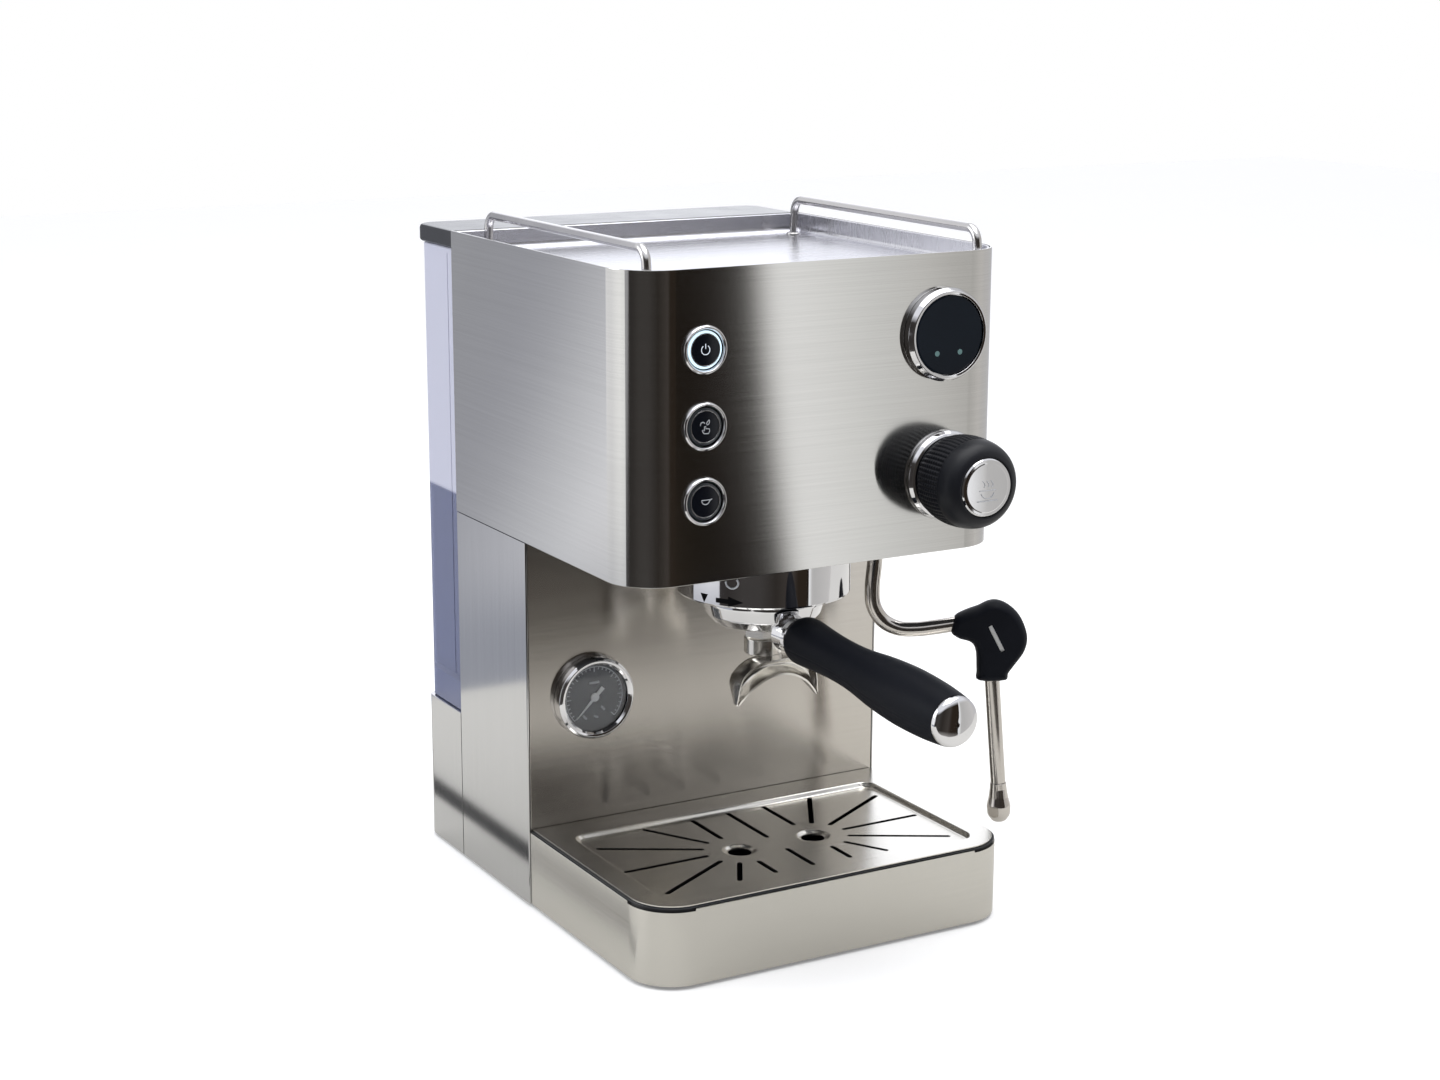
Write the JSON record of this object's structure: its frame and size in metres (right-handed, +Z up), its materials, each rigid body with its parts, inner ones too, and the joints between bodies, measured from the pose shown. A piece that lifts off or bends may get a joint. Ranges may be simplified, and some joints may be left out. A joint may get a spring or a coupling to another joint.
{
  "type": "espresso machine",
  "caption": "Steel home espresso machine: box head over a drip tray, bayonet portafilter, ball-jointed steam wand, gauge, knob, buttons and a rear water tank.",
  "frame": {"origin": "middle of the bounding box in plan, on the bench under the feet", "axes": "+X to the user's right, +Y from the front to the back, +Z up; the machine's centre plane is x = -0.0197"},
  "size_m": [0.2673, 0.3978, 0.3861],
  "materials": {
    "steel": "fine brushed stainless steel, warm grey",
    "chrome": "polished chrome",
    "black_plastic": "satin black moulded plastic",
    "gloss_black": "glossy black glass and caps",
    "rubber": "soft blue-black rubber",
    "tank_plastic": "translucent lavender-tinted moulded plastic",
    "clear_glass": "clear flat gauge lens",
    "dial": "dark slate grey dial and gauge case",
    "needle": "off-white painted needle",
    "aluminium": "die-cast aluminium",
    "brass": "plain brass",
    "pump_body": "moulded pump body with its coil",
    "silicone": "translucent white silicone and PTFE",
    "circuit_board": "green circuit board"
  },
  "bodies": {
    "chassis": {"side_panel_left": "steel", "side_panel_right": "steel", "backsplash_panel": "steel", "rear_base_housing": "steel", "head_shell": "steel", "cup_tray": "steel", "shower_screen": "steel", "rail_left": "chrome", "rail_right": "chrome", "button_bezel_power": "chrome", "button_bezel_single": "chrome", "button_bezel_double": "chrome", "display_bezel": "chrome", "knob_collar": "chrome", "gauge_bezel": "chrome", "group_collar": "chrome", "wand_nut": "chrome", "base_pan": "black_plastic", "rear_panel": "black_plastic", "head_bottom_plate": "black_plastic", "power_inlet": "black_plastic", "display_glass": "gloss_black", "foot_front_left": "rubber", "foot_front_right": "rubber", "foot_rear_left": "rubber", "foot_rear_right": "rubber", "group_gasket": "rubber", "gauge_lens": "clear_glass", "gauge_case": "dial", "group_head": "aluminium", "boiler": "aluminium", "steam_valve_body": "brass", "boiler_to_valve_pipe": "brass", "steam_pipe": "brass", "pump": "pump_body", "tank_hose": "silicone", "pump_to_boiler_pipe": "silicone", "control_board": "circuit_board"},
    "button_power": {"button_cap_power": "gloss_black"},
    "button_single": {"button_cap_single": "gloss_black"},
    "button_double": {"button_cap_double": "gloss_black"},
    "steam_knob": {"steam_knob": "rubber", "knob_cap": "chrome", "valve_spindle": "brass"},
    "gauge_needle": {"gauge_needle": "needle"},
    "portafilter": {"portafilter_body": "chrome", "filter_basket": "steel", "portafilter_handle": "rubber", "handle_end_cap": "chrome", "portafilter_spout": "chrome"},
    "wand_swivel": {"wand_seat": "silicone"},
    "wand": {"wand_pipe": "steel", "wand_grip": "rubber", "wand_tip": "steel"},
    "drip_tray": {"tray_apron": "steel", "tray_liner": "black_plastic"},
    "drip_grate": {"drip_grate": "steel"},
    "water_tank": {"water_tank": "tank_plastic", "tank_outlet_valve": "black_plastic"},
    "tank_lid": {"tank_lid": "black_plastic"}
  },
  "joints": [
    {"name": "button_power_press", "type": "slide", "parent": "chassis", "child": "button_power", "axis": [0, 1, 0], "range_m": [0, 0.0015], "stiffness_N_per_m": 700},
    {"name": "button_single_press", "type": "slide", "parent": "chassis", "child": "button_single", "axis": [0, 1, 0], "range_m": [0, 0.0015], "stiffness_N_per_m": 700},
    {"name": "button_double_press", "type": "slide", "parent": "chassis", "child": "button_double", "axis": [0, 1, 0], "range_m": [0, 0.0015], "stiffness_N_per_m": 700},
    {"name": "steam_knob_turn", "type": "hinge", "parent": "chassis", "child": "steam_knob", "pos_m": [0.0553, -0.0725, 0.254], "axis": [0, -1, 0], "range_deg": [0, 270]},
    {"name": "gauge_needle_turn", "type": "hinge", "parent": "chassis", "child": "gauge_needle", "pos_m": [-0.0942, 0.0528, 0.119], "axis": [0, 1, 0], "range_deg": [0, 270]},
    {"name": "portafilter_twist", "type": "hinge", "parent": "chassis", "child": "portafilter", "pos_m": [-0.0197, -0.0093, 0.192], "axis": [0, 0, 1], "range_deg": [-70, 0]},
    {"name": "wand_swing", "type": "hinge", "parent": "chassis", "child": "wand_swivel", "pos_m": [0.0553, -0.007, 0.21], "axis": [0, 0, 1], "range_deg": [-20, 70]},
    {"name": "wand_tilt", "type": "hinge", "parent": "wand_swivel", "child": "wand", "pos_m": [0.0553, -0.007, 0.21], "axis": [-0.5, -0.866, 0], "range_deg": [0, 12]},
    {"name": "drip_tray_slide", "type": "slide", "parent": "chassis", "child": "drip_tray", "axis": [0, -1, 0], "range_m": [0, 0.15]},
    {"name": "drip_grate_lift", "type": "slide", "parent": "drip_tray", "child": "drip_grate", "axis": [0, 0, 1], "range_m": [0, 0.045]},
    {"name": "water_tank_lift", "type": "slide", "parent": "chassis", "child": "water_tank", "axis": [0, 0, 1], "range_m": [0, 0.28]},
    {"name": "tank_lid_hinge", "type": "hinge", "parent": "water_tank", "child": "tank_lid", "pos_m": [-0.0197, 0.1985, 0.3636], "axis": [-1, 0, 0], "range_deg": [0, 100]}
  ]
}
